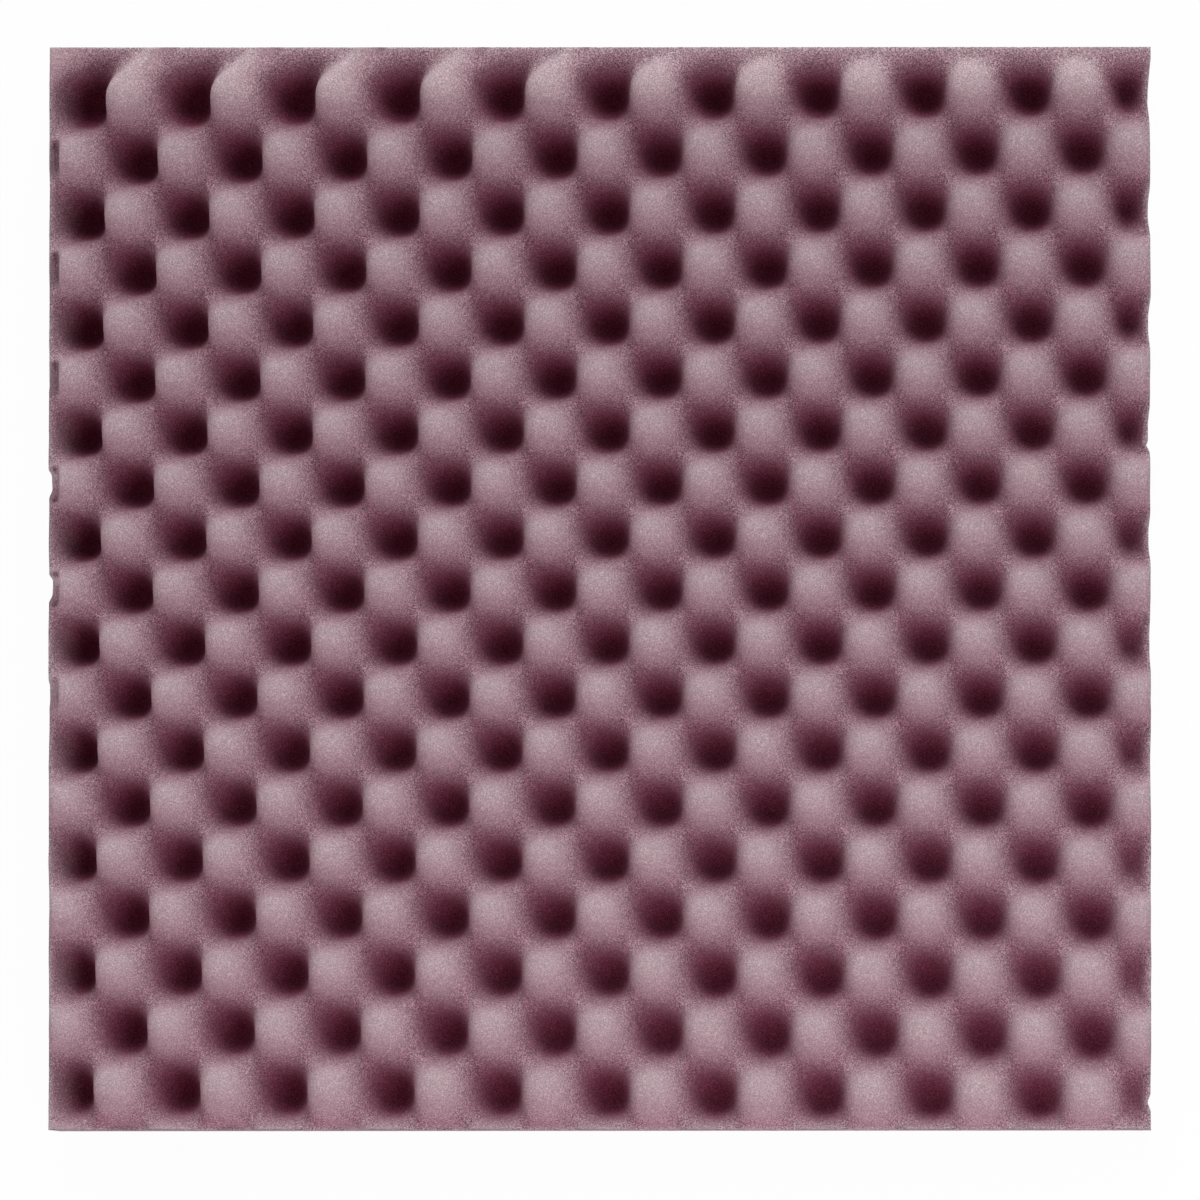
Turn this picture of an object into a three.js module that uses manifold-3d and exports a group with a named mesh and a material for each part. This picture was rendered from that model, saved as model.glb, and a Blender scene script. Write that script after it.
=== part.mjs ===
// Self-adhesive egg-crate acoustic foam panel, lying on its back with its crowns up.
// Millimetres, +Z up. The origin is the centre of the back, where the panel meets a wall or a table.
// From the back forwards: a release liner in two strips, the adhesive film that they cover, and the foam
// slab, whose front is a chequerboard of rounded crowns and pits.

import * as THREE from "three";
import { mergeVertices } from "three/addons/utils/BufferGeometryUtils.js";
import Module from "manifold-3d";

const wasm = await Module();
wasm.setup();

// The slab of foam, cut square on all four sides.
const slabWidth = 500; // along X
const slabLength = 491; // along Y
const slabThickness = 50; // from the flat back to the top of a crown
const pitFloor = 18; // foam left under the deepest point of a pit

// The chequerboard. A cell holds one crown or one pit, and a crown's four side neighbours are pits.
const cellWidth = 24.32; // from a crown to the next pit along X
const cellLength = 24.05; // the same along Y, at the middle of the slab
const rowSpreadShare = 0.00054; // how fast the rows open up towards the two cut ends
const crownOffsetX = 0.1; // the crown nearest the middle of the slab is just left of it
const crownOffsetY = 1.4; // and just below it
const steepnessShare = 1.1; // near 0 for a plain cosine, more for broad crowns and steep flanks
const saddleRaiseShare = 0.18; // how far the saddles stand above half height
const leanLeftShare = 0.2; // how far a crown leans to the left over its pits, for each unit of depth
const leanUpShare = 0.06; // the same upwards

// The facets of one cell: a middle point, a ring round it, and the cell's four corners.
const ringShare = 0.27; // of the cell
const ringPoints = 8;

// The backing.
const filmThickness = 0.15;
const filmInset = 3; // the film stops short of the foam's edge
const linerThickness = 0.15;
const linerInset = 2.5; // the liner just covers the film
const linerSlit = 0.5; // between the two strips
const linerSlitOffset = 60; // the slit lies this far right of the middle of the slab

const cutOverrun = 5; // how far cutting shapes run past what they cut

// What stands on what.
const filmBack = linerThickness;
const slabBack = filmBack + filmThickness;
const reliefDepth = slabThickness - pitFloor;

const foamFinish = new THREE.MeshStandardMaterial({ color: 0x8c6473, roughness: 0.95, metalness: 0 });
const filmFinish = new THREE.MeshStandardMaterial({ color: 0xd8d2bd, roughness: 0.35, metalness: 0 });
const linerFinish = new THREE.MeshStandardMaterial({ color: 0xe9dfc6, roughness: 0.5, metalness: 0 });

/** The place along X of a column of crowns, counted from the crown nearest the middle. */
function columnX(column) {
  return cellWidth * column - crownOffsetX;
}

/** The place along Y of a row of crowns, whose spacing grows with the cube of its distance from the middle. */
function rowY(row) {
  return cellLength * (row + rowSpreadShare * row ** 3) - crownOffsetY;
}

/** How far the foam's front lies under the tops of the crowns. A column or row need not be a whole number. */
function frontDepth(column, row) {
  const wave = Math.cos(Math.PI * column) * Math.cos(Math.PI * row);
  const bulge = Math.tanh(steepnessShare * wave) / Math.tanh(steepnessShare);
  const level = bulge + saddleRaiseShare * (1 - bulge ** 2);
  return (reliefDepth * (1 - level)) / 2;
}

/** A point on the foam's front, which leans more the deeper it lies. */
function frontPoint(column, row) {
  const depth = frontDepth(column, row);
  const x = columnX(column) + leanLeftShare * depth;
  const y = rowY(row) - leanUpShare * depth;
  return new THREE.Vector3(x, y, slabBack + slabThickness - depth);
}

/** Adds one triangle's corners to a list of coordinates. */
function addTriangle(coordinates, a, b, c) {
  coordinates.push(...a.toArray(), ...b.toArray(), ...c.toArray());
}

/** The front of one cell: a fan round its middle, and a band from the ring of points to the four corners. */
function addCell(coordinates, column, row) {
  const middle = frontPoint(column, row);
  const ring = [];
  const corners = [];
  for (let k = 0; k < ringPoints; k++) {
    const turn = (2 * Math.PI * k) / ringPoints;
    ring.push(frontPoint(column + ringShare * Math.cos(turn), row + ringShare * Math.sin(turn)));
  }
  for (let k = 0; k < 4; k++) {
    const turn = (Math.PI * (2 * k + 1)) / 4;
    const across = Math.sign(Math.cos(turn)) / 2;
    const up = Math.sign(Math.sin(turn)) / 2;
    corners.push(frontPoint(column + across, row + up));
  }
  const perCorner = ringPoints / 4;
  for (let k = 0; k < ringPoints; k++) {
    const next = (k + 1) % ringPoints;
    const corner = corners[Math.floor(k / perCorner)];
    addTriangle(coordinates, middle, ring[k], ring[next]);
    addTriangle(coordinates, ring[k], corner, ring[next]);
    if (k % perCorner === 0) {
      const before = corners[(k / perCorner + 3) % 4];
      addTriangle(coordinates, ring[k], before, corner);
    }
  }
}

/** A closed body with whole cells for its front, larger than the slab on every side. */
function convolutedBlock() {
  const leanLeft = leanLeftShare * reliefDepth;
  const leanUp = leanUpShare * reliefDepth;
  let firstColumn = 0;
  while (columnX(firstColumn - 1 / 2) + leanLeft > -slabWidth / 2) firstColumn--;
  let lastColumn = 0;
  while (columnX(lastColumn + 1 / 2) < slabWidth / 2) lastColumn++;
  let firstRow = 0;
  while (rowY(firstRow - 1 / 2) > -slabLength / 2) firstRow--;
  let lastRow = 0;
  while (rowY(lastRow + 1 / 2) - leanUp < slabLength / 2) lastRow++;

  const coordinates = [];
  for (let row = firstRow; row <= lastRow; row++)
    for (let column = firstColumn; column <= lastColumn; column++) addCell(coordinates, column, row);

  // The corners along the block's rim, anticlockwise from above, with a wall and a floor under them.
  const rim = [];
  const left = firstColumn - 1 / 2;
  const right = lastColumn + 1 / 2;
  const near = firstRow - 1 / 2;
  const far = lastRow + 1 / 2;
  for (let column = left; column < right; column++) rim.push(frontPoint(column, near));
  for (let row = near; row < far; row++) rim.push(frontPoint(right, row));
  for (let column = right; column > left; column--) rim.push(frontPoint(column, far));
  for (let row = far; row > near; row--) rim.push(frontPoint(left, row));
  const belowBack = slabBack - cutOverrun;
  const foot = rim.map((point) => point.clone().setZ(belowBack));
  const floorMiddle = new THREE.Vector3(0, 0, belowBack);
  rim.forEach((point, k) => {
    const next = (k + 1) % rim.length;
    addTriangle(coordinates, point, foot[k], foot[next]);
    addTriangle(coordinates, point, foot[next], rim[next]);
    addTriangle(coordinates, floorMiddle, foot[next], foot[k]);
  });

  const block = new THREE.BufferGeometry();
  block.setAttribute("position", new THREE.Float32BufferAttribute(coordinates, 3));
  return block;
}

/** A flat plate with square edges, its lower left corner at x, y and its back at z. */
function plate(x, y, z, width, length, thickness) {
  const outline = new THREE.Shape();
  outline.moveTo(x, y);
  outline.lineTo(x + width, y);
  outline.lineTo(x + width, y + length);
  outline.lineTo(x, y + length);
  outline.closePath();
  const geometry = new THREE.ExtrudeGeometry(outline, { depth: thickness, bevelEnabled: false });
  return geometry.translate(0, 0, z);
}

/** A closed geometry as a manifold-3d solid. */
function toSolid(geometry) {
  const bare = geometry.clone();
  bare.deleteAttribute("normal");
  bare.deleteAttribute("uv");
  const merged = mergeVertices(bare);
  const vertProperties = merged.attributes.position.array;
  const triVerts = new Uint32Array(merged.index.array);
  return new wasm.Manifold(new wasm.Mesh({ numProp: 3, vertProperties, triVerts }));
}

/** A manifold-3d solid as a geometry. */
function toGeometry(solid) {
  const mesh = solid.getMesh();
  const geometry = new THREE.BufferGeometry();
  geometry.setAttribute("position", new THREE.BufferAttribute(mesh.vertProperties, mesh.numProp));
  geometry.setIndex(new THREE.BufferAttribute(mesh.triVerts, 1));
  geometry.computeVertexNormals();
  return geometry;
}

/** The foam slab, cut from the larger block as a panel is cut from its sheet. */
function foamSlab() {
  const knife = plate(
    -slabWidth / 2,
    -slabLength / 2,
    slabBack,
    slabWidth,
    slabLength,
    slabThickness + cutOverrun,
  );
  const slab = toSolid(convolutedBlock()).intersect(toSolid(knife));
  return new THREE.Mesh(toGeometry(slab), foamFinish);
}

/** The film of adhesive on the slab's back. */
function adhesiveFilm() {
  const width = slabWidth - 2 * filmInset;
  const length = slabLength - 2 * filmInset;
  return new THREE.Mesh(plate(-width / 2, -length / 2, filmBack, width, length, filmThickness), filmFinish);
}

/** One strip of the release liner: the wide one left of the slit (-1) or the narrow one right of it (1). */
function linerStrip(side) {
  const inner = linerSlitOffset + (side * linerSlit) / 2;
  const outer = side * (slabWidth / 2 - linerInset);
  const width = Math.abs(outer - inner);
  const length = slabLength - 2 * linerInset;
  const strip = plate(Math.min(inner, outer), -length / 2, 0, width, length, linerThickness);
  return new THREE.Mesh(strip, linerFinish);
}

const panel = new THREE.Group();
const pieces = {
  foam_slab: foamSlab(),
  adhesive_film: adhesiveFilm(),
  release_liner_wide: linerStrip(-1),
  release_liner_narrow: linerStrip(1),
};
for (const [name, mesh] of Object.entries(pieces)) {
  mesh.name = name;
  panel.add(mesh);
}

export default panel;
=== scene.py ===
"""Dressed model of an egg-crate acoustic foam panel, for Blender 4.5.

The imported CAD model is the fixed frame. Geometry Nodes grow the convoluted foam inside the slab's box,
and the adhesive film and the release liner keep their CAD shapes and get finishes of their own. A white
studio with soft light stands round the panel, and a long-lensed camera looks down on its front.

Everything is in metres in the row frame: +X right and +Y up as the panel is photographed, +Z out of its
front, the origin in the middle of its back.
"""

import logging
import math
from dataclasses import dataclass, field
from enum import Enum
from typing import Optional, Union

import bpy
from mathutils import Matrix, Vector


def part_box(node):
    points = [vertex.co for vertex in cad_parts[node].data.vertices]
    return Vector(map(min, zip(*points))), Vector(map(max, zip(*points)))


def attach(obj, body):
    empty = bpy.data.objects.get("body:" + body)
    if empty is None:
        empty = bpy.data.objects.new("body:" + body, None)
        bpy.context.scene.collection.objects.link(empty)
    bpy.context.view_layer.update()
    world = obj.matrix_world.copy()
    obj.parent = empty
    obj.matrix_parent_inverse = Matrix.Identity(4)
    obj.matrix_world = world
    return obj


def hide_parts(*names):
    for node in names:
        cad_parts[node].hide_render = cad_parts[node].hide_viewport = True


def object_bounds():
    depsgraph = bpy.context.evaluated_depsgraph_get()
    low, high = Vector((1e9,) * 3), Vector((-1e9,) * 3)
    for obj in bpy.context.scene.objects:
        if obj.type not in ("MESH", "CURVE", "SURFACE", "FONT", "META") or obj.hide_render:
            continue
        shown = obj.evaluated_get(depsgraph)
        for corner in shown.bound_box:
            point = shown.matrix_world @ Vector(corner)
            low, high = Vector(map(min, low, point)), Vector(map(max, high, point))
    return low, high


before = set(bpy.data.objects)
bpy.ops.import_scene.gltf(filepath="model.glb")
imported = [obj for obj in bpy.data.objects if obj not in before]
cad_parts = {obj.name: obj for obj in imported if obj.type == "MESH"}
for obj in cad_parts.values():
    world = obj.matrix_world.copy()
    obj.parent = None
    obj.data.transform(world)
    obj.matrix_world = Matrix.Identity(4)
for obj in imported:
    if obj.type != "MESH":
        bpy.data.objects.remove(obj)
cad_low, cad_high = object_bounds()

log = logging.getLogger("foam_panel")

MM = 0.001
EDGE = "edge distance"

Colour = tuple[float, float, float, float]
Operand = Union["Field", bpy.types.NodeSocket, float]

# Where a smooth step gives 0 and where it gives 1.
Span = tuple[float, float]

WHITE: Colour = (1.0, 1.0, 1.0, 1.0)


def colour(red: int, green: int, blue: int) -> Colour:
    """A colour for a node.

    Args:
        red: Red as a screen shows it, from 0 to 255.
        green: Green in the same way.
        blue: Blue in the same way.

    Returns:
        The same colour in Blender's linear light, with full alpha.
    """

    def linear(channel: int) -> float:
        """One channel in linear light."""
        share = channel / 255
        return share / 12.92 if share <= 0.04045 else ((share + 0.055) / 1.055) ** 2.4

    return (linear(red), linear(green), linear(blue), 1.0)


class Role(Enum):
    """The end of a node tree that a material or a world feeds."""

    MATERIAL = "ShaderNodeOutputMaterial"
    WORLD = "ShaderNodeOutputWorld"


class Side(Enum):
    """A cut side of the slab, as the panel is photographed."""

    TOP = "Top"
    BOTTOM = "Bottom"
    LEFT = "Left"
    RIGHT = "Right"


class Field:
    """A number that varies over a surface: one output socket, with the sums that build Math nodes."""

    def __init__(self, tree: "Tree", socket: bpy.types.NodeSocket) -> None:
        """Wraps one socket of a tree."""
        self.tree = tree
        self.socket = socket

    def __add__(self, other: Operand) -> "Field":
        """The sum of two fields."""
        return self.tree.math("ADD", self, other)

    def __sub__(self, other: Operand) -> "Field":
        """The difference of two fields."""
        return self.tree.math("SUBTRACT", self, other)

    def __rsub__(self, other: Operand) -> "Field":
        """A plain number less this field."""
        return self.tree.math("SUBTRACT", other, self)

    def __mul__(self, other: Operand) -> "Field":
        """The product of two fields."""
        return self.tree.math("MULTIPLY", self, other)

    def __truediv__(self, other: Operand) -> "Field":
        """One field over another."""
        return self.tree.math("DIVIDE", self, other)

    def __pow__(self, power: Operand) -> "Field":
        """This field to a power."""
        return self.tree.math("POWER", self, power)

    __radd__ = __add__
    __rmul__ = __mul__

    def sine(self) -> "Field":
        """The sine of this field, which is in radians."""
        return self.tree.math("SINE", self)

    def cosine(self) -> "Field":
        """The cosine of this field, which is in radians."""
        return self.tree.math("COSINE", self)

    def tanh(self) -> "Field":
        """The hyperbolic tangent of this field."""
        return self.tree.math("TANH", self)

    def size(self) -> "Field":
        """This field without its sign."""
        return self.tree.math("ABSOLUTE", self)

    def sign(self) -> "Field":
        """One with this field's sign."""
        return self.tree.math("SIGN", self)

    def above(self, floor: Operand) -> "Field":
        """This field, but never less than a floor."""
        return self.tree.math("MAXIMUM", self, floor)

    def ease(self, start: Operand, end: Operand) -> "Field":
        """A smooth step.

        Args:
            start: Where this field gives 0.
            end: Where this field gives 1, which may be below start.

        Returns:
            The step, from 0 to 1.
        """
        settings = {"interpolation_type": "SMOOTHSTEP"}
        node = self.tree.node("ShaderNodeMapRange", settings, Value=self)
        self.tree.feed(node.inputs["From Min"], start)
        self.tree.feed(node.inputs["From Max"], end)
        return Field(self.tree, node.outputs["Result"])


class Tree:
    """A node tree under construction."""

    def __init__(self, tree: bpy.types.NodeTree) -> None:
        """Wraps a node tree."""
        self.tree = tree

    def feed(self, socket: bpy.types.NodeSocket, value: object) -> None:
        """Links a field or a socket into an input, or sets a plain value on it.

        Args:
            socket: The input.
            value: What it gets.
        """
        if isinstance(value, Field):
            value = value.socket
        if isinstance(value, bpy.types.NodeSocket):
            self.tree.links.new(value, socket)
        else:
            socket.default_value = value

    def node(self, kind: str, settings: Optional[dict] = None, **inputs: object) -> bpy.types.Node:
        """Adds a node.

        Args:
            kind: The node's type.
            settings: Its properties by name.
            **inputs: Its inputs by name, with an underscore for each space.

        Returns:
            The new node.
        """
        node = self.tree.nodes.new(kind)
        for name, value in (settings or {}).items():
            setattr(node, name, value)
        for name, value in inputs.items():
            self.feed(node.inputs[name.replace("_", " ")], value)
        return node

    def math(self, operation: str, *operands: Operand) -> Field:
        """Adds a Math node.

        Args:
            operation: What it works out.
            *operands: What it works on, in order.

        Returns:
            Its result.
        """
        node = self.node("ShaderNodeMath", {"operation": operation})
        for socket, operand in zip(node.inputs, operands):
            self.feed(socket, operand)
        return Field(self, node.outputs[0])

    def vector(self, x: Operand, y: Operand, z: Operand) -> bpy.types.NodeSocket:
        """A vector from its three parts."""
        return self.node("ShaderNodeCombineXYZ", X=x, Y=y, Z=z).outputs[0]

    def parts(self, vector: bpy.types.NodeSocket) -> tuple[Field, Field, Field]:
        """The three parts of a vector."""
        node = self.node("ShaderNodeSeparateXYZ", Vector=vector)
        return tuple(Field(self, socket) for socket in node.outputs)

    def noise(self, vector: object, size: float, detail: float = 2.0, seed: Operand = 0.0) -> Field:
        """Soft random variation.

        Args:
            vector: The place to read it at.
            size: How far apart its swells are, in metres.
            detail: How many finer layers it has.
            seed: Which variation of it to take.

        Returns:
            The variation, from about 0 to about 1.
        """
        node = self.node(
            "ShaderNodeTexNoise",
            {"noise_dimensions": "4D"},
            Vector=vector,
            W=seed,
            Scale=1 / size,
            Detail=detail,
        )
        return Field(self, node.outputs["Fac"])

    def cells(self, vector: object, size: float) -> Field:
        """A pattern of random cells of about that size in metres, which rises outwards in each."""
        node = self.node("ShaderNodeTexVoronoi", Vector=vector, Scale=1 / size)
        return Field(self, node.outputs["Distance"])

    def ramp(self, value: Operand, stops: dict[float, Colour]) -> bpy.types.NodeSocket:
        """A colour that follows a value.

        Args:
            value: The value, from 0 to 1.
            stops: The colour at each of some values, in order.

        Returns:
            The colour.
        """
        node = self.node("ShaderNodeValToRGB", Fac=value)
        elements = node.color_ramp.elements
        for place in list(stops)[2:]:
            elements.new(place)
        for element, (place, stop) in zip(elements, stops.items()):
            element.position = place
            element.color = stop
        return node.outputs["Color"]

    def mix(
        self, share: Operand, first: object, second: object, blend: str = "MIX"
    ) -> bpy.types.NodeSocket:
        """Mixes two colours.

        Args:
            share: How much of the second there is, from 0 to 1.
            first: The first colour.
            second: The second colour.
            blend: How the second is laid on the first.

        Returns:
            The mixed colour.
        """
        # The node has sockets for every kind of data, and these are the ones for colours.
        node = self.node("ShaderNodeMix", {"data_type": "RGBA", "blend_type": blend})
        for index, value in ((0, share), (6, first), (7, second)):
            self.feed(node.inputs[index], value)
        return node.outputs[2]


def blank_material(name: str) -> tuple[bpy.types.Material, Tree]:
    """Starts a material.

    Args:
        name: The material's name.

    Returns:
        The material, and its empty tree.
    """
    material = bpy.data.materials.new(name)
    material.use_nodes = True
    material.node_tree.nodes.clear()
    return material, Tree(material.node_tree)


class Modelled:
    """A Geometry Nodes tree with named inputs, and the plain mesh that it grows."""

    def __init__(self, name: str) -> None:
        """Starts an empty tree, with a geometry output.

        Args:
            name: The tree's name.
        """
        self.group = bpy.data.node_groups.new(name, "GeometryNodeTree")
        self.group.interface.new_socket("Geometry", in_out="OUTPUT", socket_type="NodeSocketGeometry")
        self.tree = Tree(self.group)
        self.values: dict[str, object] = {}
        self.material: Optional[bpy.types.Material] = None

    def inputs(
        self, sizes: dict[str, float], counts: dict[str, int], material: bpy.types.Material
    ) -> dict[str, object]:
        """Args:
            sizes: Each number by name.
            counts: Each whole number by name.
            material: The material that the mesh gets.

        Returns:
            The inputs as fields, by name, with the material's as a socket.
        """
        self.material = material
        kinds = [("NodeSocketFloat", sizes), ("NodeSocketInt", counts)]
        kinds.append(("NodeSocketMaterial", {"Material": material}))
        for kind, values in kinds:
            for name, value in values.items():
                socket = self.group.interface.new_socket(name, in_out="INPUT", socket_type=kind)
                self.values[socket.identifier] = value
        source = self.tree.node("NodeGroupInput")
        fields = {name: Field(self.tree, source.outputs[name]) for name in (*sizes, *counts)}
        return fields | {"Material": source.outputs["Material"]}

    def grow(
        self, geometry: bpy.types.NodeSocket, material: bpy.types.NodeSocket, name: str
    ) -> bpy.types.Object:
        """Ends the tree and turns what it grows into a plain mesh.

        Args:
            geometry: The finished geometry.
            material: The socket that holds its material.
            name: The new object's name.

        Returns:
            The object, at the origin, with no modifier.
        """
        whole = self.tree.node("GeometryNodeRealizeInstances", Geometry=geometry)
        dressed = self.tree.node("GeometryNodeSetMaterial", Geometry=whole.outputs[0], Material=material)
        self.tree.node("NodeGroupOutput", Geometry=dressed.outputs[0])
        seed = bpy.data.objects.new(name + "_seed", bpy.data.meshes.new(name + "_seed"))
        bpy.context.scene.collection.objects.link(seed)
        modifier = seed.modifiers.new("Grow", "NODES")
        modifier.node_group = self.group
        for identifier, value in self.values.items():
            modifier[identifier] = value
        evaluated = seed.evaluated_get(bpy.context.evaluated_depsgraph_get())
        mesh = bpy.data.meshes.new_from_object(evaluated)
        mesh.name = name
        mesh.materials.clear()
        mesh.materials.append(self.material)
        mesh.polygons.foreach_set("material_index", [0] * len(mesh.polygons))
        bpy.data.objects.remove(seed)
        grown = bpy.data.objects.new(name, mesh)
        bpy.context.scene.collection.objects.link(grown)
        return grown


@dataclass(frozen=True)
class FoamFinish:
    """Dyed open-cell polyurethane foam, with painted shade that darkens it down into its pits and painted
    light that pales its crowns.

    The high parts of the crowns along the top edge are made paler, and the foam is plainer and paler
    where a blade has cut it. A level is 0 at the floor of the deepest pit and 1 on the crowns, and facing
    is how far the surface faces the top edge, from -1 to 1.
    """

    # The foam's burgundy at each level, with painted shade darkening it down into the pits and painted
    # light paling the crowns.
    pit: Colour = colour(108, 41, 63)
    lower_flank: Colour = colour(129, 66, 88)
    upper_flank: Colour = colour(145, 91, 110)
    saddle: Colour = colour(158, 121, 134)
    crown: Colour = colour(182, 156, 164)
    lower_share: float = 0.18
    upper_share: float = 0.35
    saddle_share: float = 0.62
    mottle_size: float = 45 * MM
    mottle_share: float = 0.1
    # Painted shade: how much darker the colour gets towards the top edge, and lighter towards the bottom,
    # as the light falls.
    fade: float = 0.28

    # Painted light on the flanks that face the top edge and the key light, cut foam near the edges, and
    # paler crowns along the top edge.
    dust: Colour = colour(157, 122, 134)
    dust_share: float = 0.4
    dust_facing: Span = (0.1, 0.7)
    dust_above: Span = (0.2, 0.45)
    dust_below: Span = (0.95, 0.6)
    cut: Colour = colour(164, 140, 148)
    cut_levels: Span = (0.8, 0.2)
    cut_reach: Span = (7 * MM, 0.0)
    rim_reach: Span = (3.0 * MM, 0.4 * MM)
    rubbed: Colour = colour(212, 184, 192)
    top_pale_share: float = 0.55
    top_pale_levels: Span = (0.5, 0.85)
    top_pale_start: float = 14 * MM
    top_pale_reach: float = 26 * MM

    # Painted light and shade by facing: a greyer tint on faces towards the top edge and the key light,
    # and a redder one on faces away from it, in shade.
    lit_side_tint: Colour = (0.96, 1.02, 1.0, 1.0)
    shaded_side_tint: Colour = (1.03, 0.93, 0.97, 1.0)
    tint_facing: Span = (-0.6, 0.5)

    # The open cells: their grain, and the specks of light on them.
    cell_size: float = 0.64 * MM
    deep_grain: float = 1.5
    crown_grain: float = 0.7
    saddle_grain: float = 0.6
    saddle_above: Span = (0.3, 0.55)
    saddle_below: Span = (0.85, 0.65)
    speck_size: float = 3.4 * MM
    speck_reach: float = 0.16
    speck_share: float = 0.6
    speck_levels: Span = (0.2, 0.5)

    # How the surface takes light.
    roughness: float = 0.95
    sheen: float = 0.05
    gloss: float = 0.1
    bump_depth: float = 0.35 * MM
    bump_strength: float = 0.6

    def material(
        self, name: str, pit_height: float, crown_height: float, top: float
    ) -> bpy.types.Material:
        """Builds the foam's material.

        Args:
            name: The material's name.
            pit_height: The height of the deepest pit's floor.
            crown_height: The height of the crowns.
            top: How far up the slab's top edge lies.

        Returns:
            The material.
        """
        material, tree = blank_material(name)
        coordinates = tree.node("ShaderNodeTexCoord").outputs
        place = coordinates["Object"]
        _, y, height = tree.parts(place)
        facing = tree.parts(coordinates["Normal"])[1]
        mottle = tree.noise(place, self.mottle_size, detail=3) - 0.5
        level = (height - pit_height) / (crown_height - pit_height) + mottle * self.mottle_share
        # Painted shade and light: the ramp darkens the colour from the crowns down into the pits, where
        # shade falls, and pales the crowns.
        stops = {
            0.0: self.pit,
            self.lower_share: self.lower_flank,
            self.upper_share: self.upper_flank,
            self.saddle_share: self.saddle,
            1.0: self.crown,
        }
        # Painted light: flanks that face the top edge, where the key light comes from, are made paler and
        # greyer.
        on_flanks = level.ease(*self.dust_above) * level.ease(*self.dust_below)
        lit_flank_paint = facing.ease(*self.dust_facing) * on_flanks * self.dust_share
        dye_and_shade = tree.mix(lit_flank_paint, tree.ramp(level, stops), self.dust)
        edge = Field(tree, tree.node("ShaderNodeAttribute", {"attribute_name": EDGE}).outputs["Fac"])
        bare = edge.ease(*self.cut_reach) * level.ease(*self.cut_levels)
        bare = tree.math("MAXIMUM", bare, edge.ease(*self.rim_reach))
        dye_and_shade = tree.mix(bare, dye_and_shade, self.cut)
        # The high parts of the crowns along the top edge are made paler.
        top_pale = y.ease(top - self.top_pale_reach, top - self.top_pale_start)
        dye_and_shade = tree.mix(top_pale * level.ease(*self.top_pale_levels) * self.top_pale_share, dye_and_shade, self.rubbed)
        # Painted light and shade: faces towards the key light are greyed, and faces away from it
        # reddened.
        tint = tree.mix(facing.ease(*self.tint_facing), self.shaded_side_tint, self.lit_side_tint)
        dye_and_shade = tree.mix(1.0, dye_and_shade, tint, "MULTIPLY")

        cell = tree.cells(place, self.cell_size)
        fine = tree.noise(place, self.cell_size, detail=2, seed=3.0)
        strength = self.deep_grain - level * level * (self.deep_grain - self.crown_grain)
        on_saddle = level.ease(*self.saddle_above) * level.ease(*self.saddle_below)
        strength = strength + on_saddle * self.saddle_grain
        # The grain, with painted shade darker towards the top edge and painted light lighter towards the
        # bottom.
        grain = (cell + fine - 1.0) * strength + 1.0 - y * self.fade
        grained = tree.mix(1.0, dye_and_shade, tree.vector(grain, grain, grain), "MULTIPLY")
        speck = tree.cells(place, self.speck_size).ease(self.speck_reach, 0.0) * self.speck_share
        base = tree.mix(speck * level.ease(*self.speck_levels), grained, self.crown)

        bump = tree.node(
            "ShaderNodeBump", Height=cell + fine, Distance=self.bump_depth, Strength=self.bump_strength
        )
        shader = tree.node(
            "ShaderNodeBsdfPrincipled",
            Base_Color=base,
            Roughness=self.roughness,
            Specular_IOR_Level=self.gloss,
            Sheen_Weight=self.sheen,
            Normal=bump.outputs["Normal"],
        )
        tree.node(Role.MATERIAL.value, Surface=shader.outputs[0])
        return material


@dataclass(frozen=True)
class LinerFinish:
    """Silicone-coated release paper, cream, satin and faintly cockled."""

    paper: Colour = colour(233, 222, 196)
    shade: Colour = colour(214, 201, 172)
    fibre_size: float = 1.6 * MM
    fibre_squeeze: float = 0.2
    fibre_depth: float = 0.05 * MM
    cockle_size: float = 60 * MM
    cockle_depth: float = 4 * MM
    bump_strength: float = 0.4
    least_roughness: float = 0.34
    roughness_swing: float = 0.15
    gloss: float = 0.45

    def material(self, name: str) -> bpy.types.Material:
        """Builds the release paper's material.

        Args:
            name: The material's name.

        Returns:
            The material.
        """
        material, tree = blank_material(name)
        place = tree.node("ShaderNodeTexCoord").outputs["Object"]
        x, y, z = tree.parts(place)
        fibre = tree.noise(tree.vector(x, y * self.fibre_squeeze, z), self.fibre_size, detail=5)
        cockle = tree.noise(place, self.cockle_size, detail=1, seed=5.0)
        base = tree.mix(fibre, self.shade, self.paper)
        coarse = tree.node(
            "ShaderNodeBump", Height=cockle, Distance=self.cockle_depth, Strength=self.bump_strength
        )
        fine = tree.node(
            "ShaderNodeBump", Height=fibre, Distance=self.fibre_depth, Strength=self.bump_strength
        )
        tree.feed(fine.inputs["Normal"], coarse.outputs["Normal"])
        shader = tree.node(
            "ShaderNodeBsdfPrincipled",
            Base_Color=base,
            Roughness=fibre * self.roughness_swing + self.least_roughness,
            Specular_IOR_Level=self.gloss,
            Normal=fine.outputs["Normal"],
        )
        tree.node(Role.MATERIAL.value, Surface=shader.outputs[0])
        return material


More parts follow.
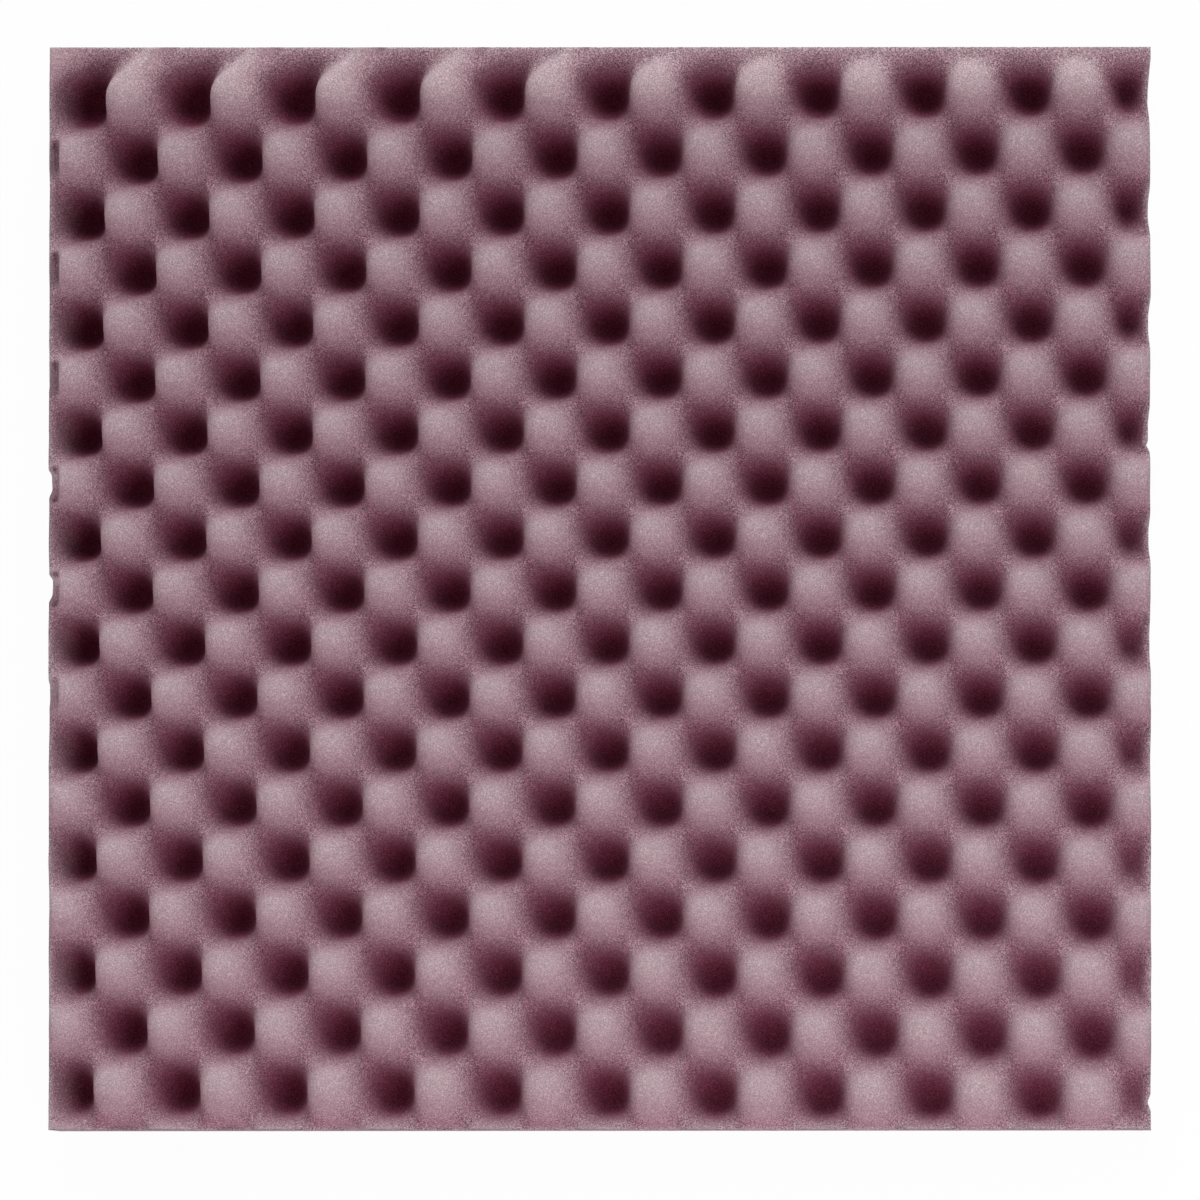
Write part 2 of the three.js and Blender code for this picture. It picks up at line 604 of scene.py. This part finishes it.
@dataclass(frozen=True)
class AdhesiveFinish:
    """Tacky acrylic adhesive on foam, cloudy and wet-looking, with the foam's cells printed through."""

    clear: Colour = colour(170, 140, 138)
    cloudy: Colour = colour(206, 186, 176)
    cell_size: float = 1.1 * MM
    patch_size: float = 30 * MM
    bump_depth: float = 0.2 * MM
    bump_strength: float = 0.5
    least_roughness: float = 0.18
    roughness_swing: float = 0.2
    gloss: float = 0.6

    def material(self, name: str) -> bpy.types.Material:
        """Builds the adhesive's material.

        Args:
            name: The material's name.

        Returns:
            The material.
        """
        material, tree = blank_material(name)
        place = tree.node("ShaderNodeTexCoord").outputs["Object"]
        cell = tree.cells(place, self.cell_size)
        patch = tree.noise(place, self.patch_size, detail=4)
        base = tree.mix(cell * 0.5 + patch * 0.5, self.clear, self.cloudy)
        bump = tree.node(
            "ShaderNodeBump", Height=cell, Distance=self.bump_depth, Strength=self.bump_strength
        )
        shader = tree.node(
            "ShaderNodeBsdfPrincipled",
            Base_Color=base,
            Roughness=patch * self.roughness_swing + self.least_roughness,
            Specular_IOR_Level=self.gloss,
            Normal=bump.outputs["Normal"],
        )
        tree.node(Role.MATERIAL.value, Surface=shader.outputs[0])
        return material


@dataclass(frozen=True)
class Spot:
    """A place on the slab's front, as fields.

    A share is 0 in the middle and 1 at the right or top edge. The distances are from the nearest of the
    left and right edges, from the nearest of the top and bottom ones, and inwards from each side.
    """

    place: bpy.types.NodeSocket
    x: Field
    y: Field
    share_x: Field
    share_y: Field
    from_sides: Field
    from_ends: Field
    inwards: dict[Side, Field]


@dataclass
class FoamSlab:
    """The convoluted foam: a chequerboard of rounded crowns and pits, cut square on four sides.

    Its box comes from the CAD slab, and its cells stand where the CAD cells do. They wander, fan out and
    lean, they grow shallow towards the cut edges, and these edges wave, dip and have nicks and tears. A
    level is -1 at the floor of a pit and 1 on a crown.
    """

    # Where the columns and rows stand.
    cell_width: float = 24.32 * MM
    cell_length: float = 24.1 * MM
    row_spread: float = 0.00054
    crown_x: float = -0.4 * MM
    crown_y: float = -0.05 * MM
    fan_x: float = 0.0085
    fan_y: float = 0.005
    row_slip: float = 1.25 * MM
    row_bow: float = 1.6 * MM
    left_pull: float = 0.3 * MM
    left_sag: float = 0.23 * MM
    left_sag_start: float = 1.5
    wander: float = 1.2 * MM
    wander_size: float = 70 * MM
    last_row: float = 9.0
    top_stretch: float = 0.3

    # How deep the pits are and how the crowns are rounded.
    relief: float = 32 * MM
    relief_tilt: float = 0.05
    unevenness: float = 1.2 * MM
    steepness: float = 1.1
    saddle_raise: float = 0.18
    saddle_twist: float = 0.05
    top_twist: float = 0.5
    top_twist_rows: Span = (0.0, 0.4)
    top_twist_shares: Span = (1.0, -0.6)

    # How far the crowns lean over their pits, and the left and top rims spread, for each unit of depth.
    lean_x: float = 0.212
    lean_y: float = 0.06
    lean_change_x: float = -0.085
    lean_change_y: float = -0.02
    lean_margin: float = 9 * MM
    cut_lean: float = 0.12

    # The level that the pits rise to at each cut side, and at the top left corner.
    top_rim: float = 0.5
    top_fade: float = 16 * MM
    left_rim: float = 0.45
    left_fade: float = 7.5 * MM
    right_rim: float = 0.12
    right_fade: float = 18 * MM
    bottom_rim: float = -0.3
    bottom_fade: float = 12 * MM
    corner_rim: float = 0.85
    corner_reach: float = 24 * MM
    corner_flat: float = 4 * MM

    # The slots behind the left edge, the torn part of it, and the dips and nicks in the right edge.
    slot_depth: float = 0.6
    slot_inset: float = 2.4 * MM
    slot_width: float = 2.6 * MM
    slot_crowns: Span = (0.25, 1.0)
    slot_shares: Span = (-0.35, -0.1)
    slot_loss: float = 0.7
    torn_depth: float = 1.9 * MM
    torn_middle: float = 20 * MM
    torn_reach: float = 100 * MM
    torn_crowns: Span = (0.65, 0.95)
    right_dip: float = 1.1 * MM
    dip_crowns: Span = (0.3, -1.0)
    dip_shares: Span = (-0.3, 0.1)
    nick_depth: float = 1.4 * MM
    nick_height: float = 4.5 * MM
    upper_nick: float = 65 * MM
    lower_nick: float = -232 * MM
    tear_reach: float = 7 * MM

    # How the cut sides wave and where they end.
    edge_wave: float = 1.6 * MM
    edge_wave_size: float = 30 * MM
    edge_wave_reach: float = 20 * MM
    left_trim: float = 1.8 * MM
    top_trim: float = 1.1 * MM
    top_trim_reach: float = 30 * MM
    top_slant: float = 1.8 * MM
    top_spread: float = 0.0032

    # The foam's own texture, and its mesh.
    grain: float = 0.25 * MM
    grain_size: float = 2.4 * MM
    spacing: float = 1.05 * MM
    wall_levels: int = 12
    seed: float = 4.0
    finish: FoamFinish = field(default_factory=FoamFinish)

    def front(self, tree: Tree, given: dict[str, Field]) -> bpy.types.NodeSocket:
        """The grid that is the slab's front, with its crowns and pits.

        Args:
            tree: The Geometry Nodes tree.
            given: The tree's inputs.

        Returns:
            The geometry, which keeps how far each point lay from the nearest edge.
        """
        grid = tree.node(
            "GeometryNodeMeshGrid",
            Size_X=given["Width"],
            Size_Y=given["Length"],
            Vertices_X=given["Columns"],
            Vertices_Y=given["Rows"],
        )
        place = tree.node("GeometryNodeInputPosition").outputs[0]
        x, y, _ = tree.parts(place)
        half_width = given["Width"] / 2.0
        half_length = given["Length"] / 2.0
        spot = Spot(
            place=place,
            x=x,
            y=y,
            share_x=x / half_width,
            share_y=y / half_length,
            from_sides=half_width - x.size(),
            from_ends=half_length - y.size(),
            inwards={
                Side.TOP: half_length - y,
                Side.BOTTOM: half_length + y,
                Side.LEFT: half_width + x,
                Side.RIGHT: half_width - x,
            },
        )
        marked = tree.node(
            "GeometryNodeStoreNamedAttribute",
            Geometry=grid.outputs["Mesh"],
            Name=EDGE,
            Value=tree.math("MINIMUM", spot.from_sides, spot.from_ends),
        )
        row = self.rows(tree, given, spot)
        crown_row = (row * math.pi).cosine()
        torn = (y - given["Torn Middle"]).size().ease(given["Torn Reach"], 0.0)
        torn = torn * crown_row.ease(*self.torn_crowns)
        edged_x = self.edged(tree, given, spot, crown_row, torn)
        trim = spot.share_x * given["Top Slant"] + given["Top Trim"]
        edged_y = y - trim * spot.inwards[Side.TOP].ease(given["Top Trim Reach"], 0.0)
        column = self.columns(tree, given, spot, edged_x)
        level = self.level(given, spot, row, column)
        level = self.rimmed(given, spot, level) - self.slot(given, spot, crown_row, torn)

        relief = given["Relief"] * (1.0 + (spot.share_y - spot.share_x) * given["Relief Tilt"])
        depth = (1.0 - level) * relief / 2.0
        swell = tree.noise(place, self.wander_size / 2, detail=2, seed=given["Seed"] + 3.0)
        height = given["Front"] - depth - swell * given["Unevenness"]
        lean_x, lean_y = self.lean(given, spot)
        shaped = tree.vector(edged_x + depth * lean_x, edged_y - depth * lean_y, height)
        moved = tree.node("GeometryNodeSetPosition", Geometry=marked.outputs[0], Position=shaped)
        return moved.outputs[0]

    def rows(self, tree: Tree, given: dict[str, Field], spot: Spot) -> Field:
        """Counts the rows up the slab, which stand further apart towards its two ends.

        Args:
            tree: The Geometry Nodes tree.
            given: The tree's inputs.
            spot: The place to count at.

        Returns:
            The count, which is a whole number along the middle of a row.
        """
        sway = tree.noise(spot.place, self.wander_size, detail=2, seed=given["Seed"] + 2.0) - 0.5
        sway = sway * given["Wander"]
        sagging = (1.0 - spot.share_x) ** 2.0 * (spot.share_y + given["Left Sag Start"])
        sway = sway + sagging * given["Left Sag"]
        sway = sway + spot.share_x * given["Row Slip"] + spot.share_y * spot.share_y * given["Row Bow"]
        row_length = given["Cell Length"] * (spot.share_x * given["Fan Y"] + 1.0)
        even_row = (spot.y + sway - given["Crown Y"]) / row_length

        # The spread grows with the cube of the count: a guess, and one step that corrects it.
        spread = given["Row Spread"]
        guess = even_row - even_row**3.0 * spread
        miss = guess + guess**3.0 * spread - even_row
        row = guess - miss / (guess * guess * spread * 3.0 + 1.0)
        return row - (row - given["Last Row"]).above(0.0) * given["Top Stretch"]

    def columns(self, tree: Tree, given: dict[str, Field], spot: Spot, edged_x: Field) -> Field:
        """Counts the columns across the slab, which fan out towards its bottom.

        Args:
            tree: The Geometry Nodes tree.
            given: The tree's inputs.
            spot: The place to count at.
            edged_x: How far across the slab it lies once the edges are cut.

        Returns:
            The count, which is a whole number along the middle of a column.
        """
        sway = tree.noise(spot.place, self.wander_size, detail=2, seed=given["Seed"] + 1.0) - 0.5
        sway = sway * given["Wander"] - (1.0 - spot.share_x) ** 2.0 * given["Left Pull"]
        column_width = given["Cell Width"] * (1.0 - spot.share_y * given["Fan X"])
        return (edged_x + sway - given["Crown X"]) / column_width

    def edged(
        self, tree: Tree, given: dict[str, Field], spot: Spot, crown_row: Field, torn: Field
    ) -> Field:
        """Moves the left and right edges in where they wave, dip, or have nicks and tears.

        Args:
            tree: The Geometry Nodes tree.
            given: The tree's inputs.
            spot: The place on the front.
            crown_row: 1 in rows whose crowns meet the left and right edges, -1 in those whose pits do.
            torn: How torn the left edge is, from 0 to 1.

        Returns:
            How far across the slab the place lies.
        """
        along = tree.vector(spot.share_x.sign(), spot.y, 0.0)
        rough_edge = tree.noise(along, self.edge_wave_size, detail=3, seed=given["Seed"]) - 0.5
        inset = rough_edge * given["Edge Wave"] + (1.0 - spot.share_x) / 2.0 * given["Left Trim"]
        inset = inset * spot.from_sides.ease(given["Edge Wave Reach"], 0.0)
        nicked = (spot.y - given["Upper Nick"]).size().ease(given["Nick Height"], 0.0)
        nicked = nicked + (spot.y - given["Lower Nick"]).size().ease(given["Nick Height"], 0.0)
        dip = crown_row.ease(*self.dip_crowns) * spot.share_y.ease(*self.dip_shares)
        missing = nicked * given["Nick Depth"] + dip * given["Right Dip"]
        inset = inset + missing * spot.inwards[Side.RIGHT].ease(given["Tear Reach"], 0.0)
        missing = torn * given["Torn Depth"]
        inset = inset + missing * spot.inwards[Side.LEFT].ease(given["Tear Reach"], 0.0)
        return spot.x * (spot.share_y * given["Top Spread"] + 1.0) - spot.share_x.sign() * inset

    def level(self, given: dict[str, Field], spot: Spot, row: Field, column: Field) -> Field:
        """How high the crowns, saddles and pits stand, before the edges change them.

        Args:
            given: The tree's inputs.
            spot: The place on the front.
            row: Its row.
            column: Its column.

        Returns:
            The level.
        """
        across = column * math.pi
        up = row * math.pi
        in_last_row = (row - given["Last Row"]).ease(*self.top_twist_rows)
        in_last_row = in_last_row * spot.share_x.ease(*self.top_twist_shares)
        twist = given["Saddle Twist"] - in_last_row * given["Top Twist"]
        wave = across.cosine() * up.cosine() - across.sine() * up.sine() * twist
        bulge = (wave * given["Steepness"]).tanh() / given["Steepness"].tanh()
        return bulge + (1.0 - bulge * bulge) * given["Saddle Raise"]

    @staticmethod
    def rimmed(given: dict[str, Field], spot: Spot, level: Field) -> Field:
        """Raises the pits near the cut sides and at the top left corner.

        Args:
            given: The tree's inputs.
            spot: The place on the front.
            level: The level there.

        Returns:
            The new level.
        """
        for side, distance in spot.inwards.items():
            near = distance.ease(given[side.value + " Fade"], 0.0)
            level = level + (given[side.value + " Rim"] - level).above(0.0) * near
        corner = spot.inwards[Side.LEFT] + spot.inwards[Side.TOP]
        near = corner.ease(given["Corner Reach"], given["Corner Flat"])
        return level + (given["Corner Rim"] - level).above(0.0) * near

    def slot(self, given: dict[str, Field], spot: Spot, crown_row: Field, torn: Field) -> Field:
        """The slots that stand just behind the left edge.

        Args:
            given: The tree's inputs.
            spot: The place on the front.
            crown_row: 1 in rows whose crowns meet the left and right edges, -1 in those whose pits do.
            torn: How torn the edge is, from 0 to 1.

        Returns:
            How much lower the foam is there.
        """
        behind = (spot.inwards[Side.LEFT] - given["Slot Inset"]).size().ease(given["Slot Width"], 0.0)
        behind = behind * (1.0 - torn * given["Slot Loss"])
        behind = behind * crown_row.ease(*self.slot_crowns) * spot.share_y.ease(*self.slot_shares)
        return behind * given["Slot Depth"]

    @staticmethod
    def lean(given: dict[str, Field], spot: Spot) -> tuple[Field, Field]:
        """How far to the right and down the foam lies, for each unit that it is lower than the crowns.

        Args:
            given: The tree's inputs.
            spot: The place on the front.

        Returns:
            How far to the right, and how far down.
        """
        margin = given["Lean Margin"]
        right = given["Lean X"] + spot.share_x * given["Lean Change X"]
        right = right * spot.from_sides.ease(0.0, margin)
        down = given["Lean Y"] + spot.share_y * given["Lean Change Y"]
        down = down * spot.from_ends.ease(0.0, margin)
        right = right - spot.inwards[Side.LEFT].ease(margin, 0.0) * given["Cut Lean"]
        down = down - spot.inwards[Side.TOP].ease(margin, 0.0) * given["Cut Lean"]
        return right, down

    def walls(
        self, tree: Tree, given: dict[str, Field], front: bpy.types.NodeSocket
    ) -> bpy.types.NodeSocket:
        """Draws the front's rim down to the back, a band at a time, and closes the back.

        Args:
            tree: The Geometry Nodes tree.
            given: The tree's inputs.
            front: The geometry of the front.

        Returns:
            The closed geometry.
        """
        neighbours = tree.node("GeometryNodeInputMeshEdgeNeighbors").outputs["Face Count"]
        # An edge with one face is on the rim. Sockets 2 and 3 take whole numbers.
        rim = tree.node("FunctionNodeCompare", {"data_type": "INT", "operation": "EQUAL"})
        tree.feed(rim.inputs[2], neighbours)
        tree.feed(rim.inputs[3], 1)
        start = tree.tree.nodes.new("GeometryNodeRepeatInput")
        end = tree.tree.nodes.new("GeometryNodeRepeatOutput")
        start.pair_with_output(end)
        tree.feed(start.inputs["Iterations"], given["Wall Levels"])
        tree.feed(start.inputs["Geometry"], front)
        x, y, z = tree.parts(tree.node("GeometryNodeInputPosition").outputs[0])

        bands_left = given["Wall Levels"] - Field(tree, start.outputs["Iteration"])
        lower = z + (given["Back"] - z) / bands_left
        band, _ = self.drawn(tree, start.outputs["Geometry"], rim.outputs[0], tree.vector(x, y, lower))
        tree.feed(end.inputs["Geometry"], band)

        middle = tree.vector(0.0, 0.0, given["Back"])
        closed, tip = self.drawn(tree, end.outputs["Geometry"], rim.outputs[0], middle)
        merged = tree.node("GeometryNodeMergeByDistance", Geometry=closed, Selection=tip)
        return merged.outputs[0]

    @staticmethod
    def drawn(
        tree: Tree, geometry: object, edges: object, place: object
    ) -> tuple[bpy.types.NodeSocket, bpy.types.NodeSocket]:
        """Extrudes edges to a place.

        Args:
            tree: The Geometry Nodes tree.
            geometry: What to extrude.
            edges: Which edges.
            place: Where their new points go.

        Returns:
            The geometry, and the choice of its new edges.
        """
        pulled = tree.node(
            "GeometryNodeExtrudeMesh",
            {"mode": "EDGES"},
            Mesh=geometry,
            Selection=edges,
            Offset_Scale=0.0,
        )
        tip = pulled.outputs["Top"]
        moved = tree.node(
            "GeometryNodeSetPosition", Geometry=pulled.outputs["Mesh"], Selection=tip, Position=place
        )
        return moved.outputs[0], tip

    def roughened(
        self, tree: Tree, given: dict[str, Field], geometry: bpy.types.NodeSocket
    ) -> bpy.types.NodeSocket:
        """Roughens the surface with the foam's own texture, and shades it smooth.

        Args:
            tree: The Geometry Nodes tree.
            given: The tree's inputs.
            geometry: The closed slab.

        Returns:
            The geometry.
        """
        place = tree.node("GeometryNodeInputPosition").outputs[0]
        normal = tree.node("GeometryNodeInputNormal").outputs[0]
        ripple = tree.noise(place, self.grain_size, detail=2, seed=given["Seed"] + 4.0) * given["Grain"]
        inwards = tree.node("ShaderNodeVectorMath", {"operation": "SCALE"}, Vector=normal)
        tree.feed(inwards.inputs["Scale"], ripple * -1.0)
        moved = tree.node("GeometryNodeSetPosition", Geometry=geometry, Offset=inwards.outputs[0])
        smooth = tree.node("GeometryNodeSetShadeSmooth", Geometry=moved.outputs[0])
        return smooth.outputs[0]

    def sizes(self) -> dict[str, float]:
        """The slab's sizes, named for the tree's inputs.

        Returns:
            Each number among the fields by name, apart from those that the script itself works with.
        """
        own = {"wander_size", "edge_wave_size", "grain_size", "spacing"}
        return {
            name.replace("_", " ").title(): value
            for name, value in vars(self).items()
            if isinstance(value, float) and name not in own
        }

    def build(self) -> bpy.types.Object:
        """Grows the slab and fastens it to its body.

        Returns:
            The slab's object.
        """
        low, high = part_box("foam_slab")
        width, length = high.x - low.x, high.y - low.y
        material = self.finish.material("burgundy foam", high.z - self.relief, high.z, high.y)
        model = Modelled("convoluted foam")
        sizes = self.sizes() | {"Relief": self.relief - self.unevenness}
        sizes |= {"Width": width, "Length": length, "Back": low.z, "Front": high.z}
        counts = {
            "Columns": round(width / self.spacing) + 1,
            "Rows": round(length / self.spacing) + 1,
            "Wall Levels": self.wall_levels,
        }
        given = model.inputs(sizes, counts, material)
        front = self.front(model.tree, given)
        block = self.walls(model.tree, given, front)
        foam = model.grow(self.roughened(model.tree, given, block), given["Material"], "convoluted_foam")
        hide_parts("foam_slab")
        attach(foam, "panel")
        log.info("foam slab: %d faces", len(foam.data.polygons))
        return foam


@dataclass
class Backing:
    """The adhesive film and the two strips of release liner, which keep their CAD shapes."""

    liner: LinerFinish = field(default_factory=LinerFinish)
    adhesive: AdhesiveFinish = field(default_factory=AdhesiveFinish)

    def dress(self) -> None:
        """Gives each CAD node of the backing its finish."""
        paper = self.liner.material("release paper")
        film = self.adhesive.material("acrylic adhesive")
        finishes = {"adhesive_film": film, "release_liner_wide": paper, "release_liner_narrow": paper}
        for name, material in finishes.items():
            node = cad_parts[name]
            node.data.materials.clear()
            node.data.materials.append(material)
            log.info("%s: %s", name, material.name)


@dataclass
class Studio:
    """A white floor and background, a soft key lamp and a sky that is brightest near the horizon."""

    floor_side: float = 12.0
    floor_drop: float = 0.2 * MM
    shadow_share: float = 0.04
    sky_low: float = 1.11
    sky_high: float = 0.07
    sky_span: Span = (0.117, 1.2)
    key_place: Vector = field(default_factory=lambda: Vector((1.26, 13.6, 8.36)))
    key_side: float = 7.2
    key_power: float = 1265.0
    fill_place: Vector = field(default_factory=lambda: Vector((0.32, -0.66, 0.8)))
    fill_side: float = 0.4
    fill_power: float = 1.6

    @staticmethod
    def seen(tree: Tree) -> Field:
        """Tells what is looked at from what only lights the scene.

        Args:
            tree: The tree of the floor's material or of the world.

        Returns:
            1 where the camera, a reflection or a clear surface sees it, and 0 elsewhere.
        """
        path = tree.node("ShaderNodeLightPath").outputs
        camera, glossy, clear = (
            Field(tree, path[f"Is {kind} Ray"]) for kind in ("Camera", "Glossy", "Transmission")
        )
        return tree.math("MINIMUM", camera + glossy + clear, 1.0)

    def sky(self) -> None:
        """Lights the scene from all round, and shows white to the camera and in reflections."""
        world = bpy.data.worlds.new("studio sky")
        world.use_nodes = True
        bpy.context.scene.world = world
        tree = Tree(world.node_tree)
        world.node_tree.nodes.clear()
        direction = tree.node("ShaderNodeTexCoord").outputs["Generated"]
        up = tree.parts(direction)[2]
        glow = up.ease(*self.sky_span) * (self.sky_high - self.sky_low) + self.sky_low
        seen = self.seen(tree)
        strength = seen + (1.0 - seen) * glow
        background = tree.node("ShaderNodeBackground", Color=WHITE, Strength=strength)
        tree.node(Role.WORLD.value, Surface=background.outputs[0])

    def floor(self) -> None:
        """Lays a wide white floor that keeps a little of the panel's shadow."""
        material, tree = blank_material("white floor")
        lit = tree.node("ShaderNodeBsdfDiffuse", Color=WHITE)
        plain = tree.node("ShaderNodeEmission", Color=WHITE, Strength=1.0)
        mixed = tree.node("ShaderNodeMixShader", Fac=self.seen(tree) * (1 - self.shadow_share))
        tree.feed(mixed.inputs[1], lit.outputs[0])
        tree.feed(mixed.inputs[2], plain.outputs[0])
        tree.node(Role.MATERIAL.value, Surface=mixed.outputs[0])
        half = self.floor_side / 2
        corners = [(-half, -half), (half, -half), (half, half), (-half, half)]
        mesh = bpy.data.meshes.new("floor")
        mesh.from_pydata([(x, y, -self.floor_drop) for x, y in corners], [], [(0, 1, 2, 3)])
        mesh.materials.append(material)
        floor = bpy.data.objects.new("floor", mesh)
        bpy.context.scene.collection.objects.link(floor)

    @staticmethod
    def lamp(name: str, place: Vector, side: float, power: float) -> None:
        """Hangs a square lamp that faces the panel.

        Args:
            name: The lamp's name.
            place: Where it hangs.
            side: The length of its side.
            power: Its power in watts.
        """
        data = bpy.data.lights.new(name, "AREA")
        data.shape = "SQUARE"
        data.size = side
        data.energy = power
        lamp = bpy.data.objects.new(name, data)
        lamp.location = place
        lamp.rotation_euler = (-place).to_track_quat("-Z", "Y").to_euler()
        lamp.visible_camera = False
        bpy.context.scene.collection.objects.link(lamp)

    def build(self) -> None:
        """Builds the whole studio."""
        self.sky()
        self.floor()
        self.lamp("key", self.key_place, self.key_side, self.key_power)
        self.lamp("fill", self.fill_place, self.fill_side, self.fill_power)
        bpy.context.scene.view_settings.view_transform = "Standard"
        log.info("studio ready")


@dataclass
class PhotoCamera:
    """A long lens over the panel, a little to the right of it and below it."""

    distance: float = 4.2
    slant_x: float = 0.06
    slant_y: float = -0.07
    frame_side: float = 541.4 * MM
    aim_x: float = 1.9 * MM
    aim_y: float = -6.9 * MM
    sensor: float = 36.0
    sight: float = 100.0

    def build(self) -> None:
        """Places the camera and makes it the scene's."""
        target = Vector((self.aim_x, self.aim_y, cad_high.z))
        back = Vector((self.slant_x, self.slant_y, 1.0)).normalized()
        data = bpy.data.cameras.new("photo camera")
        data.sensor_width = self.sensor
        data.lens = self.sensor * self.distance / self.frame_side
        data.clip_end = self.sight
        camera = bpy.data.objects.new("photo camera", data)
        upright = Vector((0.0, 1.0, 0.0))
        right = upright.cross(back).normalized()
        up = back.cross(right)
        turn = Matrix((right, up, back)).transposed().to_4x4()
        camera.matrix_world = Matrix.Translation(target + back * self.distance) @ turn
        bpy.context.scene.collection.objects.link(camera)
        bpy.context.scene.camera = camera
        log.info("camera %.2f m away, lens %.0f mm", self.distance, data.lens)


def main() -> None:
    """Builds the camera, the studio and the panel's pieces in order."""
    logging.basicConfig(level=logging.INFO, format="%(name)s: %(message)s")
    PhotoCamera().build()
    Studio().build()
    FoamSlab().build()
    Backing().dress()


if __name__ == "__main__":
    main()
